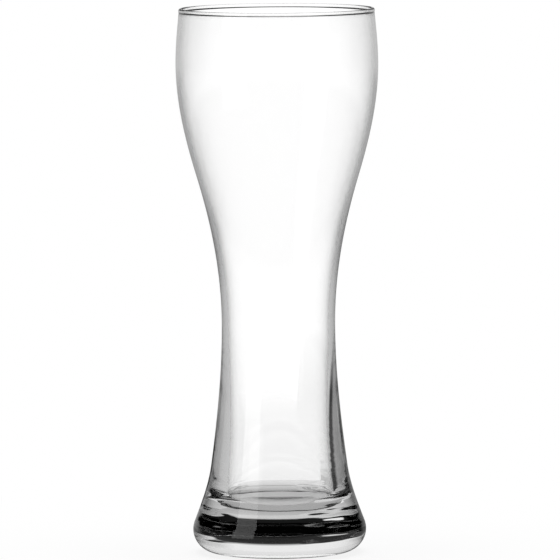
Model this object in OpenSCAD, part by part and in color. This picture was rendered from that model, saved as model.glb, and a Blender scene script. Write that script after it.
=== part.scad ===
// Half-litre beer glass of clear soda-lime glass: a tall bowl that swells under the lip,
// a slim waist to hold it by, and a heavy solid foot that flares out to the table.
// A real one is a single casting. Its five zones are drawn here as solids that meet face to face.

/* [Lip] */
// Overall height, from the table to the top of the lip
glass_h = 220; // [214:1:260]
// Outer diameter over the fire-polished bead round the lip
lip_d = 79.2; // [74:0.2:86]
// Distance by which the bead stands proud of the wall on the outside
bead_out = 0.1; // [0.05:0.05:0.5]
// Distance by which the bead stands proud of the wall on the inside
bead_in = 0.15; // [0.1:0.05:0.8]
// Height over which the bead runs out into the wall, under its half round
bead_neck = 1.1; // [0.8:0.1:4]
// Lean of the wall towards the axis under the bead, in degrees
lip_lean = 5.5; // [0:0.5:12]

/* [Bowl] */
// Outer diameter at the widest part of the bowl
bowl_d = 81.7; // [74:0.2:92]
// Height of the widest part of the bowl
bowl_z = 197.5; // [180:0.5:206]
// Wall thickness of the bowl
bowl_wall = 1.4; // [1.2:0.1:2.6]
// Outer diameter at the shoulder, where the wall is at its steepest
shoulder_d = 65.2; // [58:0.2:72]
// Height of the shoulder
shoulder_z = 152; // [138:1:164]
// Slope of the wall at the shoulder, in degrees from upright
shoulder_slope = 16.9; // [8:0.1:24]

/* [Waist] */
// Outer diameter at the narrowest part of the waist
waist_d = 45.8; // [40:0.2:54]
// Height of the narrowest part of the waist
waist_z = 92.5; // [76:0.5:106]
// Wall thickness at the narrowest part of the waist
waist_wall = 2.5; // [1.6:0.1:4]
// Outer diameter at the ankle, where the waist runs out into the foot
ankle_d = 55.2; // [51:0.1:60]
// Height of the ankle
ankle_z = 35; // [29:0.5:44]
// Slope of the wall at the ankle, in degrees from upright
ankle_slope = 7.9; // [4:0.1:14]

/* [Foot] */
// Outer diameter at the widest part of the foot
foot_d = 70; // [62:0.2:80]
// Radius of the rounded heel under and over the widest part
heel_r = 9.2; // [7:0.1:10.5]
// Slope of the flare above the heel, in degrees from upright
flare_slope = 21; // [12:0.2:28]
// Thickness of solid glass from the table to the floor of the inside
floor_z = 16.5; // [14.5:0.5:24]
// Widest diameter of the inside above its floor
floor_d = 43.5; // [36:0.5:46]
// Radius of the corner between the floor and the inner wall
floor_r = 7; // [3:0.5:10]
// Flare of the inner wall down to that corner, in degrees from upright
well_flare = 8; // [0:0.5:12]
// Width of the flat ring that the foot stands on
ring_w = 3.4; // [1:0.1:8]
// Depth of the hollow underside at its middle, inside that ring
punt_h = 0.9; // [0.4:0.1:4]

/* [Hidden] */
glass_tint = [0.86, 0.92, 0.93, 0.45];
// Longest step along a curve and along the bead's neck, and largest angle between points on an arc
curve_step = 2;
neck_step = 0.2;
arc_step = 5;
$fn = 144;

// The bead is a half round on top of a neck, which ends where the wall is at its plain thickness
lip_wall = bowl_wall / cos(lip_lean);
bead_r = (bead_out + lip_wall + bead_in) / 2;
bead_x = lip_d / 2 - bead_r;
bead_z = glass_h - bead_r;
neck_z = bead_z - bead_neck;
neck_x = lip_d / 2 - bead_out;
// The heel's arc stands on the table and ends where the flare leaves it
heel_x = foot_d / 2 - heel_r;
flare_z = heel_r * (1 + sin(flare_slope));
// The floor's corner, parted halfway round: the foot ends there and the waist begins
corner_x = floor_d / 2 - floor_r;
corner_z = floor_z + floor_r;
corner_top_z = corner_z + floor_r * sin(well_flare);
corner_parting = -45;
parting_z = corner_z + floor_r * sin(corner_parting);
// The sphere that hollows the underside
punt_x = heel_x - ring_w;
punt_r = (pow(punt_x, 2) + pow(punt_h, 2)) / (2 * punt_h);

// A place on an outline: height, radius, and growth of the radius with height
outer_places = [
  [flare_z, heel_x + heel_r * cos(flare_slope), -tan(flare_slope)],
  [ankle_z, ankle_d / 2, -tan(ankle_slope)],
  [waist_z, waist_d / 2, 0],
  [shoulder_z, shoulder_d / 2, tan(shoulder_slope)],
  [bowl_z, bowl_d / 2, 0],
  [neck_z, neck_x, -tan(lip_lean)],
  [bead_z, lip_d / 2, 0]
];
inner_places = [
  [corner_top_z, corner_x + floor_r * cos(well_flare), -tan(well_flare)],
  [waist_z, waist_d / 2 - waist_wall, 0],
  [shoulder_z, shoulder_d / 2 - bowl_wall / cos(shoulder_slope), tan(shoulder_slope)],
  [bowl_z, bowl_d / 2 - bowl_wall, 0],
  [neck_z, neck_x - lip_wall, -tan(lip_lean)],
  [bead_z, bead_x - bead_r, 0]
];

// Cubic between two places, which passes through both with the slopes given
function blend(z, a, b) =
  let (span = b[0] - a[0], t = (z - a[0]) / span)
  a[1] * (1 + 2 * t) * pow(1 - t, 2) + b[1] * t * t * (3 - 2 * t)
  + a[2] * span * t * pow(1 - t, 2) + b[2] * span * t * t * (t - 1);

// Radius of an outline at a height
function radius_at(z, places, i = 0) =
  i >= len(places) - 2 || z <= places[i + 1][0]
    ? blend(z, places[i], places[i + 1])
    : radius_at(z, places, i + 1);

// Points of an outline from one height to another, both included
function run(from_z, to_z, places, step = curve_step) =
  let (count = max(1, ceil(abs(to_z - from_z) / step)))
  [for (i = [0 : count]) let (z = from_z + (to_z - from_z) * i / count) [radius_at(z, places), z]];

// Points of an arc from one angle to another, both included
function arc(centre, r, from_angle, to_angle) =
  let (count = max(1, ceil(abs(to_angle - from_angle) / arc_step)))
  [for (i = [0 : count]) let (a = from_angle + (to_angle - from_angle) * i / count)
    centre + r * [cos(a), sin(a)]];

// All but the first point of a stretch that starts where the last one ended
function after_first(points) = [for (i = [1 : len(points) - 1]) points[i]];

module turned(outline) {
  color(glass_tint) rotate_extrude() polygon(outline);
}

// Rounded bead with the neck that runs out into the wall
module lip() {
  turned(concat(
    run(neck_z, bead_z, outer_places, neck_step),
    after_first(arc([bead_x, bead_z], bead_r, 0, 180)),
    after_first(run(bead_z, neck_z, inner_places, neck_step))
  ));
}

// Full part of the glass, from the shoulder to the lip
module bowl() {
  turned(concat(
    run(shoulder_z, neck_z, outer_places),
    run(neck_z, shoulder_z, inner_places)
  ));
}

// Part that widens from the narrowest place of the waist into the bowl
module shoulder() {
  turned(concat(
    run(waist_z, shoulder_z, outer_places),
    run(shoulder_z, waist_z, inner_places)
  ));
}

// Slim part that the hand holds, thick-walled towards the foot
module waist() {
  turned(concat(
    run(parting_z, waist_z, outer_places),
    run(waist_z, corner_top_z, inner_places),
    after_first(arc([corner_x, corner_z], floor_r, well_flare, corner_parting))
  ));
}

// Solid base with its rounded heel, standing ring and hollow underside
module foot() {
  punt_half_angle = asin(punt_x / punt_r);
  turned(concat(
    arc([0, punt_h - punt_r], punt_r, 90, 90 - punt_half_angle),
    arc([heel_x, heel_r], heel_r, -90, flare_slope),
    after_first(run(flare_z, parting_z, outer_places)),
    arc([corner_x, corner_z], floor_r, corner_parting, -90),
    [[0, floor_z]]
  ));
}

lip();
bowl();
shoulder();
waist();
foot();
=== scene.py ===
import math
import bpy
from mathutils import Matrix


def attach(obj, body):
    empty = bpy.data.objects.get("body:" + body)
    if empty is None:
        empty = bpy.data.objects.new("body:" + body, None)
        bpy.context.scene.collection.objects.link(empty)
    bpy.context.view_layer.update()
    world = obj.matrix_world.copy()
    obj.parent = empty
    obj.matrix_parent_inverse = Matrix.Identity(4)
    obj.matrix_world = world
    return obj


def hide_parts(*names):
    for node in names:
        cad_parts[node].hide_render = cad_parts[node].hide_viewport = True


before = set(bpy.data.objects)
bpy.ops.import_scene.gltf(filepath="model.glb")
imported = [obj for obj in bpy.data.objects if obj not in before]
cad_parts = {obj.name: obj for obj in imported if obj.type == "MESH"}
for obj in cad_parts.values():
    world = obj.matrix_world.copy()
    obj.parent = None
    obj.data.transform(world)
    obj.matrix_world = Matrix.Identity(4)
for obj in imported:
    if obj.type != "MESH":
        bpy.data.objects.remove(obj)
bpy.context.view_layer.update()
scene = bpy.context.scene
print("frame loaded:", sorted(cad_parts))

# outline of the glass, read off the CAD zones
outlineSettings = {
    "zones": ("foot", "waist", "shoulder", "bowl", "lip"),  # from the table up
    "level": 0.0001,  # two rings closer than this are one
    "flatNormal": 0.99995,  # faces this flat are partings, the floor and the standing ring
    "underNormal": -0.5,  # inward faces that look further down than this are the hollow underside
    "digits": 6,  # to which a ring is rounded
}


def ringsOf(node, wanted):
    # rings (radius, height) of a node's faces that pass the test on radial and upward normal
    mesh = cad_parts[node].data
    digits = outlineSettings["digits"]
    found = set()
    for face in mesh.polygons:
        middle = face.center
        reach = math.hypot(middle.x, middle.y)
        if reach < outlineSettings["level"]:
            continue
        outward = (face.normal.x * middle.x + face.normal.y * middle.y) / reach
        upward = face.normal.z
        if abs(upward) > outlineSettings["flatNormal"] or not wanted(outward, upward):
            continue
        for index in face.vertices:
            place = mesh.vertices[index].co
            found.add((round(math.hypot(place.x, place.y), digits), round(place.z, digits)))
    return found


def thinned(rings):
    kept = []
    for ring in rings:
        if not kept or math.dist(ring, kept[-1]) > outlineSettings["level"]:
            kept.append(ring)
    return kept


def glassOutline():
    # once round the section: hollow underside, heel, outside, lip, inside, floor
    lowest = outlineSettings["underNormal"]
    outside, inside = set(), set()
    for zone in outlineSettings["zones"]:
        outside |= ringsOf(zone, lambda outward, upward: outward > 0)
        inside |= ringsOf(zone, lambda outward, upward: outward < 0 and upward > lowest)
    under = ringsOf("foot", lambda outward, upward: outward < 0 and upward < lowest)
    rings = sorted(under)
    rings += sorted(outside, key=lambda ring: ring[1])
    rings += sorted(inside, key=lambda ring: -ring[1])
    rings = thinned(rings)
    return [(0.0, rings[0][1])] + rings[1:] + [(0.0, rings[-1][1])]


outline = glassOutline()
print("outline:", len(outline), "rings")

# the glass: the outline drawn point by point and spun round
glassSettings = {
    "startSize": 0.001,  # of the plane that is merged into the first point
    "turnSteps": 144,  # faces round the glass
    "mergeGap": 0.000002,
}


def selectNothing():
    bpy.ops.object.select_all(action="DESELECT")


def makeGlass():
    selectNothing()
    start = (outline[0][0], 0, outline[0][1])
    bpy.ops.mesh.primitive_plane_add(size=glassSettings["startSize"], location=start)
    glass = bpy.context.object
    glass.name = "glass"
    glass.data.name = "glass"
    bpy.ops.object.transform_apply(location=True, rotation=True, scale=True)
    bpy.ops.object.mode_set(mode="EDIT")
    bpy.ops.mesh.select_all(action="SELECT")
    bpy.ops.mesh.merge(type="CENTER")
    for before, after in zip(outline, outline[1:]):
        step = (after[0] - before[0], 0, after[1] - before[1])
        bpy.ops.mesh.extrude_vertices_move(TRANSFORM_OT_translate={"value": step})
    bpy.ops.mesh.select_all(action="SELECT")
    bpy.ops.mesh.spin(
        steps=glassSettings["turnSteps"], angle=math.tau, center=(0, 0, 0), axis=(0, 0, 1)
    )
    bpy.ops.mesh.select_all(action="SELECT")
    bpy.ops.mesh.remove_doubles(threshold=glassSettings["mergeGap"])
    bpy.ops.mesh.normals_make_consistent(inside=False)
    bpy.ops.object.mode_set(mode="OBJECT")
    bpy.ops.object.shade_smooth()
    return glass


glass = makeGlass()
print("glass:", len(glass.data.polygons), "faces")


# node helpers for all finishes: a value is a number, or the output of another node
def feed(tree, value, socket):
    if isinstance(value, (int, float)):
        socket.default_value = value
    else:
        tree.links.new(value, socket)


def calculate(tree, operation, *values):
    node = tree.nodes.new("ShaderNodeMath")
    node.operation = operation
    for value, socket in zip(values, node.inputs):
        feed(tree, value, socket)
    return node.outputs[0]


def ranged(tree, value, fromMin, fromMax, toMin=0.0, toMax=1.0, curve="LINEAR"):
    # the value taken from one range to another, and held at its ends
    node = tree.nodes.new("ShaderNodeMapRange")
    node.interpolation_type = curve
    feed(tree, value, node.inputs["Value"])
    feed(tree, fromMin, node.inputs["From Min"])
    feed(tree, fromMax, node.inputs["From Max"])
    feed(tree, toMin, node.inputs["To Min"])
    feed(tree, toMax, node.inputs["To Max"])
    return node.outputs["Result"]


def mixValues(tree, share, first, second):
    node = tree.nodes.new("ShaderNodeMix")
    feed(tree, share, node.inputs["Factor"])
    feed(tree, first, node.inputs["A"])
    feed(tree, second, node.inputs["B"])
    return node.outputs["Result"]


def mixShaders(tree, share, first, second):
    node = tree.nodes.new("ShaderNodeMixShader")
    for value, socket in zip((share, first, second), node.inputs):
        tree.links.new(value, socket)
    return node.outputs[0]


def greyRamp(tree, value, places):
    node = tree.nodes.new("ShaderNodeValToRGB")
    stops = node.color_ramp.elements
    for index, (at, grey) in enumerate(places):
        stop = stops[index] if index < 2 else stops.new(at)  # a new ramp has two stops
        stop.position = at
        stop.color = (grey, grey, grey, 1)
    tree.links.new(value, node.inputs["Fac"])
    return node.outputs["Color"]


def placeOn(tree, kind="Object"):
    return tree.nodes.new("ShaderNodeTexCoord").outputs[kind]


def byAxis(tree, place):
    node = tree.nodes.new("ShaderNodeSeparateXYZ")
    tree.links.new(place, node.inputs[0])
    return node.outputs


def stretched(tree, place, factors):
    node = tree.nodes.new("ShaderNodeVectorMath")
    node.operation = "MULTIPLY"
    node.inputs[1].default_value = factors
    tree.links.new(place, node.inputs[0])
    return node.outputs["Vector"]


def lengthOf(tree, place):
    node = tree.nodes.new("ShaderNodeVectorMath")
    node.operation = "LENGTH"
    tree.links.new(place, node.inputs[0])
    return node.outputs["Value"]


def lightPath(tree):
    return tree.nodes.new("ShaderNodeLightPath").outputs


# finish: clear glass, a little grey where it is thick, and a painted shade that darkens its edges, raised
# to a power that is set by height
finishSettings = {
    "ior": 1.52,
    # how far the surface turns away, and the grey of the painted edge shade that passes there
    "edge": (
        (0.0, 1.0), (0.2, 1.0), (0.32, 0.985), (0.46, 0.9), (0.6, 0.7), (0.75, 0.42), (0.95, 0.3),
    ),
    # the same under the lip, where the painted shade reaches further in
    "edgeTop": (
        (0.0, 1.0), (0.15, 0.985), (0.22, 0.955), (0.28, 0.9), (0.34, 0.825), (0.4, 0.78),
        (0.5, 0.77), (0.6, 0.71), (0.68, 0.68), (0.8, 0.52), (0.95, 0.43),
    ),
    "topFrom": 0.175,  # height at which it starts to change over
    "topTo": 0.219,
    # height, and the power that this painted shade is raised to there
    "paintedEdgeShadePower": (
        (0.0, 0.1), (0.003, 0.15), (0.0065, 0.7), (0.0095, 3.8), (0.02, 4.2), (0.026, 2.6),
        (0.036, 1.7), (0.058, 1.15), (0.085, 1.8), (0.11, 1.7), (0.15, 0.6), (0.18, 0.45),
    ),
    "borePaintedShadePower": 0.6,  # the power close to the axis, as inside the foot and the waist
    "boreReach": 0.0235,  # up to this far from the axis
    "outsideReach": 0.0255,  # from here on the height gives the power
    # chill ripples: height, and their share there
    "rippleHeight": (
        (0.006, 0.0), (0.009, 1.0), (0.02, 1.0), (0.025, 0.6), (0.031, 0.2), (0.045, 0.08), (0.06, 0.0),
    ),
    "rippleMiddle": -0.14,  # the middle of the stretch without ripples, as a share of the way to the right
    "rippleSides": (0.36, 0.64),  # they start and are full this far to the left and right of it
    "rippleDepth": 0.0009,
    "rippleSize": 35.0,  # per metre round the glass
    "rippleLength": 9.0,  # times as many along it, which draws the ripples out round it
    "rippleDetail": 1.3,
    "depthColour": (0.5, 0.5, 0.5, 1.0),
    "depthDensity": 8.0,  # per metre
}


def rippleBump(tree, place, along, reach, outside):
    # noise drawn out round the glass, on its left and right sides
    noise = tree.nodes.new("ShaderNodeTexNoise")
    noise.inputs["Scale"].default_value = finishSettings["rippleSize"]
    noise.inputs["Detail"].default_value = finishSettings["rippleDetail"]
    drawn = stretched(tree, place, (1, 1, finishSettings["rippleLength"]))
    tree.links.new(drawn, noise.inputs["Vector"])
    high = greyRamp(tree, along["Z"], finishSettings["rippleHeight"])
    aside = calculate(tree, "DIVIDE", along["X"], reach)
    fromMiddle = calculate(tree, "SUBTRACT", aside, finishSettings["rippleMiddle"])
    eitherSide = calculate(tree, "ABSOLUTE", fromMiddle)
    side = ranged(tree, eitherSide, *finishSettings["rippleSides"])
    share = calculate(tree, "MULTIPLY", high, side)
    bump = tree.nodes.new("ShaderNodeBump")
    bump.inputs["Distance"].default_value = finishSettings["rippleDepth"]
    tree.links.new(calculate(tree, "MULTIPLY", share, outside), bump.inputs["Strength"])
    tree.links.new(noise.outputs["Fac"], bump.inputs["Height"])
    return bump.outputs[0]


def clearGlass():
    material = bpy.data.materials.new("clearGlass")
    material.use_nodes = True
    tree = material.node_tree
    shader = tree.nodes["Principled BSDF"]
    place = placeOn(tree)
    along = byAxis(tree, place)
    away = tree.nodes.new("ShaderNodeLayerWeight").outputs["Facing"]
    top = ranged(
        tree, along["Z"], finishSettings["topFrom"], finishSettings["topTo"], curve="SMOOTHSTEP"
    )
    # painted shade: the base colour goes grey where the surface turns away from the eye, raised to a power
    # that changes with height and near the axis
    edge = greyRamp(tree, away, finishSettings["edge"])
    edgeTop = greyRamp(tree, away, finishSettings["edgeTop"])
    grey = mixValues(tree, top, edge, edgeTop)
    reach = lengthOf(tree, stretched(tree, place, (1, 1, 0)))
    outside = ranged(tree, reach, finishSettings["boreReach"], finishSettings["outsideReach"])
    paintedEdgeShadePower = greyRamp(tree, along["Z"], finishSettings["paintedEdgeShadePower"])
    power = mixValues(tree, outside, finishSettings["borePaintedShadePower"], paintedEdgeShadePower)
    tree.links.new(calculate(tree, "POWER", grey, power), shader.inputs["Base Color"])
    tree.links.new(rippleBump(tree, place, along, reach, outside), shader.inputs["Normal"])
    shader.inputs["Transmission Weight"].default_value = 1.0
    shader.inputs["Roughness"].default_value = 0.0
    shader.inputs["IOR"].default_value = finishSettings["ior"]
    depth = tree.nodes.new("ShaderNodeVolumeAbsorption")
    depth.inputs["Color"].default_value = finishSettings["depthColour"]
    depth.inputs["Density"].default_value = finishSettings["depthDensity"]
    tree.links.new(depth.outputs[0], tree.nodes["Material Output"].inputs["Volume"])
    return material


glass.data.materials.clear()
glass.data.materials.append(clearGlass())
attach(glass, "root")
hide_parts("lip", "bowl", "shoulder", "waist", "foot")
print("finish on")

# camera
cameraSettings = {
    "distance": 3.05,  # from the glass's axis, along the table
    "height": 0.3745,
    "aside": 0.00235,
    "pitch": 4.954,  # degrees below level
    "roll": 0.35,
    "lens": 487.4,
    "sensor": 36.0,
    "clipEnd": 100.0,
}


def makeCamera():
    bpy.ops.object.camera_add()
    camera = bpy.context.object
    camera.name = "camera"
    camera.data.lens = cameraSettings["lens"]
    camera.data.sensor_width = cameraSettings["sensor"]
    camera.data.clip_end = cameraSettings["clipEnd"]
    camera.location = (cameraSettings["aside"], -cameraSettings["distance"], cameraSettings["height"])
    camera.rotation_euler = (
        math.radians(90 - cameraSettings["pitch"]), math.radians(cameraSettings["roll"]), 0
    )
    scene.camera = camera


makeCamera()
print("camera placed")

# how bright the white set looks: 1 to the eye, and dimmer where the glass mirrors it
whiteSettings = {
    "through": 1.15,  # seen through the glass
    "mirroredInside": 0.57,  # share of that left when it is mirrored once on the way through
    "mirroredOutside": 0.1,  # mirrored by the outside of the glass, or more than once
    "mirroredBehind": 0.55,  # the same from the back of the room
    "behindFrom": 55.0,  # degrees round from the back, inside which that starts
    "behindTo": 35.0,
    "mirroredBelow": 0.3,  # the same from all round, low down
    "belowTo": -5.5,  # degrees above level, up to which that holds
    "aboveFrom": -3.5,
}


def mirroredOutside(tree):
    # 1 for light that the outside of the glass mirrors to the eye, or that is mirrored more than once
    path = lightPath(tree)
    return calculate(tree, "GREATER_THAN", path["Glossy Depth"], path["Is Transmission Ray"])


def whiteLevel(tree, paintedShading=1.0, outside=whiteSettings["mirroredOutside"]):
    # the second argument is painted shading: it dims the white that shows through the glass, and brightens
    # it where it is over 1; outside is the white that its outside mirrors
    path = lightPath(tree)
    left = calculate(tree, "POWER", whiteSettings["mirroredInside"], path["Glossy Depth"])
    through = calculate(tree, "MULTIPLY", left, whiteSettings["through"])
    dimmed = calculate(tree, "MULTIPLY", through, paintedShading)
    level = mixValues(tree, mirroredOutside(tree), dimmed, outside)
    return mixValues(tree, path["Is Camera Ray"], level, 1.0)


# helpers for the table, the strip light and the bands, whose finishes start empty
def emptyFinish(name):
    material = bpy.data.materials.new(name)
    material.use_nodes = True
    tree = material.node_tree
    tree.nodes.clear()
    tree.nodes.new("ShaderNodeOutputMaterial")
    return material, tree


def showSurface(tree, shader):
    tree.links.new(shader, tree.nodes["Material Output"].inputs["Surface"])


def glow(tree, strength):
    node = tree.nodes.new("ShaderNodeEmission")
    feed(tree, strength, node.inputs["Strength"])
    return node.outputs[0]


def clear(tree, grey=1.0):
    node = tree.nodes.new("ShaderNodeBsdfTransparent")
    node.inputs["Color"].default_value = (grey, grey, grey, 1)
    return node.outputs[0]


# pale table: a disc that is white to the eye and takes the glass's shadow, with a painted shadow round the
# glass that only the glass shows
tableSettings = {
    "radius": 0.25,
    "sides": 96,
    "gap": 0.0002,  # under the glass
    "paint": (0.8, 0.8, 0.8, 1.0),
    "glow": 0.88,  # share of white that no shadow touches, near the glass
    "glowFrom": 0.06,  # there the share starts to rise
    "glowTo": 0.22,  # and there it is 1
    # how far from the axis, and the share of white that the glass shows there: a painted shadow, darkest
    # close round the foot
    "paintedShading": (
        (0.03, 0.65), (0.041, 0.48), (0.054, 0.58), (0.068, 0.68), (0.085, 0.74), (0.12, 0.8),
        (0.16, 0.93), (0.22, 1.0),
    ),
    # the same where it is mirrored on the way, with a painted bright ring just round the foot
    "paintedShadingMirrored": ((0.036, 0.8), (0.04, 2.2), (0.054, 2.2), (0.058, 0.8), (0.15, 1.0)),
}


def paleTable():
    material, tree = emptyFinish("paleTable")
    paint = tree.nodes.new("ShaderNodeBsdfDiffuse")
    paint.inputs["Color"].default_value = tableSettings["paint"]
    path = lightPath(tree)
    reach = lengthOf(tree, placeOn(tree))
    # painted shadow on the table round the glass, which only the glass shows, and a painted bright ring
    # for light that the glass mirrors
    straight = greyRamp(tree, reach, tableSettings["paintedShading"])
    mirrored = greyRamp(tree, reach, tableSettings["paintedShadingMirrored"])
    paintedShading = mixValues(tree, path["Glossy Depth"], straight, mirrored)
    white = glow(tree, whiteLevel(tree, paintedShading))
    rise = ranged(
        tree, reach, tableSettings["glowFrom"], tableSettings["glowTo"], tableSettings["glow"], 1.0
    )
    seen = calculate(tree, "SUBTRACT", 1.0, path["Is Diffuse Ray"])
    share = calculate(tree, "MULTIPLY", rise, seen)
    top = mixShaders(tree, share, paint.outputs[0], white)
    # the outside of the glass mirrors what lies past the table
    showSurface(tree, mixShaders(tree, mirroredOutside(tree), top, clear(tree)))
    return material


def makeTable():
    selectNothing()
    bpy.ops.mesh.primitive_circle_add(
        vertices=tableSettings["sides"], radius=tableSettings["radius"], fill_type="NGON"
    )
    table = bpy.context.object
    table.name = "table"
    table.data.materials.append(paleTable())
    table.location.z = -tableSettings["gap"]


makeTable()
print("table laid")

# room: white up to just over the table's edge, dark above
roomSettings = {
    "whiteTo": 4.0,  # degrees above level
    "darkFrom": 7.0,
    "dark": 0.012,
}


def sineOf(degrees):
    return math.sin(math.radians(degrees))


def cosineOf(degrees):
    return math.cos(math.radians(degrees))


def makeRoom():
    world = bpy.data.worlds.new("room")
    scene.world = world
    world.use_nodes = True
    tree = world.node_tree
    tree.nodes.clear()
    along = byAxis(tree, placeOn(tree, "Generated"))
    sky = tree.nodes.new("ShaderNodeBackground")
    rise = ranged(
        tree, along["Z"], sineOf(roomSettings["whiteTo"]), sineOf(roomSettings["darkFrom"]),
        1.0, roomSettings["dark"]
    )
    tree.links.new(rise, sky.inputs["Color"])
    behind = ranged(
        tree, along["Y"], cosineOf(whiteSettings["behindFrom"]), cosineOf(whiteSettings["behindTo"]),
        whiteSettings["mirroredOutside"], whiteSettings["mirroredBehind"]
    )
    outside = ranged(
        tree, along["Z"], sineOf(whiteSettings["belowTo"]), sineOf(whiteSettings["aboveFrom"]),
        whiteSettings["mirroredBelow"], behind
    )
    tree.links.new(whiteLevel(tree, outside=outside), sky.inputs["Strength"])
    out = tree.nodes.new("ShaderNodeOutputWorld")
    tree.links.new(sky.outputs[0], out.inputs["Surface"])


makeRoom()
print("room lit")


def showInGlassOnly(piece):
    piece.visible_camera = False
    piece.visible_diffuse = False
    piece.visible_shadow = False
    piece.data.materials[0].cycles.emission_sampling = "NONE"


# strip light at the front left, which only the glass shows
stripSettings = {
    "turn": -50.0,  # degrees round from the front, to the right
    "reach": 1.2,
    "width": 0.66,
    "bottom": -0.2,
    "top": 0.84,
    "bright": 1.3,
    "mirroredAgain": 0.2,  # share left after each mirroring but the first
}


def stripFinish():
    material, tree = emptyFinish("stripLight")
    afterFirst = calculate(tree, "SUBTRACT", lightPath(tree)["Glossy Depth"], 1.0)
    often = calculate(tree, "MAXIMUM", afterFirst, 0.0)
    left = calculate(tree, "POWER", stripSettings["mirroredAgain"], often)
    showSurface(tree, glow(tree, calculate(tree, "MULTIPLY", left, stripSettings["bright"])))
    return material


def makeStrip():
    bottom, top = stripSettings["bottom"], stripSettings["top"]
    selectNothing()
    bpy.ops.mesh.primitive_plane_add(size=1)
    strip = bpy.context.object
    strip.name = "stripLight"
    bpy.ops.object.mode_set(mode="EDIT")
    bpy.ops.mesh.select_all(action="SELECT")
    bpy.ops.transform.resize(value=(stripSettings["width"], top - bottom, 1))
    bpy.ops.transform.rotate(value=math.radians(-90), orient_axis="X", center_override=(0, 0, 0))
    bpy.ops.transform.translate(value=(0, -stripSettings["reach"], (top + bottom) / 2))
    turn = math.radians(-stripSettings["turn"])
    bpy.ops.transform.rotate(value=turn, orient_axis="Z", center_override=(0, 0, 0))
    bpy.ops.object.mode_set(mode="OBJECT")
    strip.data.materials.append(stripFinish())
    showInGlassOnly(strip)


makeStrip()
print("strip light up")

# bands round the back of the foot, which only the glass shows too: a faint shade line low down,
# a white card over it that keeps the heel bright, and further off on the right a screen with dark stripes
bandSides = 144  # faces in a full turn

shadeSettings = {
    "reach": 0.052,  # from the axis
    "bottom": 0.0032,
    "top": 0.0055,
    "from": -40.0,  # degrees round from the back, to the right
    "to": 40.0,
    "dark": 0.28,
}
cardSettings = {
    "reach": 0.052,
    "bottom": 0.0165,
    "fadeFrom": 0.041,  # from this height it fades out to its top
    "top": 0.054,
    "from": -55.0,
    "to": 35.0,
    "white": 0.92,
}
screenSettings = {
    "reach": 0.1,
    "bottom": 0.0,
    "fadeFrom": 0.042,
    "top": 0.08,
    "from": 8.0,
    "to": 76.0,
    # degrees round from the back at which the stripes would lean down to the table, and how dark they are
    "stripes": (
        (31.0, 0.0), (39.0, 0.4), (71.0, 0.42), (76.0, 0.75), (79.0, 0.92), (88.0, 0.92),
        (92.0, 0.3), (97.0, 0.0),
    ),
    "whole": 120.0,  # degrees that the stripes' ramp spans
    "lean": 15.0,  # radians per metre by which they lean to the left upwards
    "leanFrom": 0.022,  # they stand upright below this height
    "direct": 0.25,  # share of the dark that shows to light that isn't mirrored
    "directLow": 0.65,  # the same near the table
    "lowTo": 0.01,  # up to this height
    "highFrom": 0.02,
}


def fadeUp(tree, height, settings):
    return ranged(tree, height, settings["top"], settings["fadeFrom"])


def shadeFinish():
    material, tree = emptyFinish("shade")
    showSurface(tree, clear(tree, 1 - shadeSettings["dark"]))
    return material


def cardFinish():
    material, tree = emptyFinish("card")
    height = byAxis(tree, placeOn(tree))["Z"]
    white = glow(tree, calculate(tree, "MULTIPLY", whiteLevel(tree), cardSettings["white"]))
    showSurface(tree, mixShaders(tree, fadeUp(tree, height, cardSettings), clear(tree), white))
    return material


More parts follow.
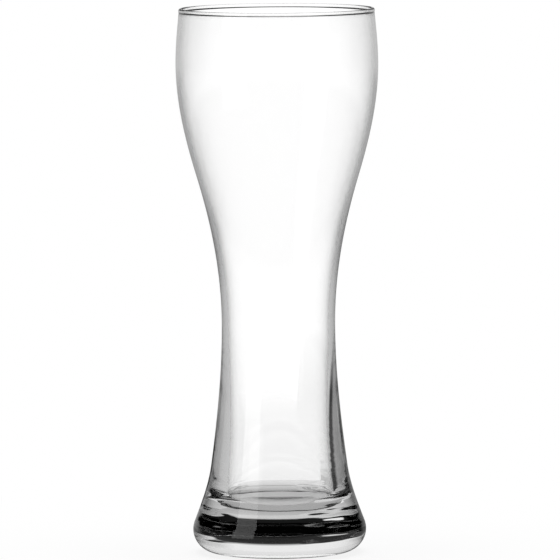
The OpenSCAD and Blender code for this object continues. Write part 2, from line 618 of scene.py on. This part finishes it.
def screenFinish():
    material, tree = emptyFinish("screen")
    along = byAxis(tree, placeOn(tree))
    turn = calculate(tree, "ARCTAN2", along["X"], along["Y"])
    leaning = calculate(tree, "MAXIMUM", along["Z"], screenSettings["leanFrom"])
    turn = calculate(tree, "MULTIPLY_ADD", leaning, screenSettings["lean"], turn)
    whole = screenSettings["whole"]
    part = calculate(tree, "DIVIDE", turn, math.radians(whole))
    stripes = greyRamp(tree, part, [(at / whole, dark) for at, dark in screenSettings["stripes"]])
    dark = calculate(tree, "MULTIPLY", stripes, fadeUp(tree, along["Z"], screenSettings))
    direct = ranged(
        tree, along["Z"], screenSettings["lowTo"], screenSettings["highFrom"],
        screenSettings["directLow"], screenSettings["direct"]
    )
    shown = ranged(tree, lightPath(tree)["Glossy Depth"], 0.0, 1.0, direct, 1.0)
    share = calculate(tree, "MULTIPLY", dark, shown)
    showSurface(tree, mixShaders(tree, share, clear(tree), glow(tree, 0.0)))
    return material


def makeBand(name, settings, finish):
    bottom, top = settings["bottom"], settings["top"]
    selectNothing()
    bpy.ops.mesh.primitive_cylinder_add(
        vertices=bandSides, radius=settings["reach"], depth=top - bottom, end_fill_type="NOTHING",
        location=(0, 0, (top + bottom) / 2)
    )
    band = bpy.context.object
    band.name = name
    bpy.ops.object.transform_apply(location=True, rotation=True, scale=True)
    bpy.ops.object.mode_set(mode="EDIT")
    bpy.ops.mesh.select_mode(type="FACE")
    bpy.ops.mesh.select_all(action="DESELECT")
    bpy.ops.object.mode_set(mode="OBJECT")
    for face in band.data.polygons:
        turn = math.degrees(math.atan2(face.center.x, face.center.y))
        face.select = not settings["from"] < turn < settings["to"]
    bpy.ops.object.mode_set(mode="EDIT")
    bpy.ops.mesh.delete(type="FACE")
    bpy.ops.object.mode_set(mode="OBJECT")
    band.data.materials.append(finish())
    showInGlassOnly(band)


makeBand("shade", shadeSettings, shadeFinish)
makeBand("card", cardSettings, cardFinish)
makeBand("screen", screenSettings, screenFinish)
print("shade line, card and screen up")

# lamp over the table
lampSettings = {
    "height": 1.2,
    "behind": 0.2,  # the glass
    "size": 1.0,
    "watts": 21.0,
}


def makeLamp():
    place = (0, lampSettings["behind"], lampSettings["height"])
    bpy.ops.object.light_add(type="AREA", location=place)
    lamp = bpy.context.object
    lamp.name = "overhead"
    lamp.data.size = lampSettings["size"]
    lamp.data.energy = lampSettings["watts"]
    lamp.visible_glossy = False
    lamp.visible_transmission = False
    lamp.visible_camera = False


makeLamp()
print("lamp hung")

# light crosses many walls of glass before it ends
bounceSettings = {
    "all": 24,
    "through": 24,
    "mirrored": 16,
}
scene.cycles.max_bounces = bounceSettings["all"]
scene.cycles.transmission_bounces = bounceSettings["through"]
scene.cycles.glossy_bounces = bounceSettings["mirrored"]
scene.view_settings.view_transform = "Standard"
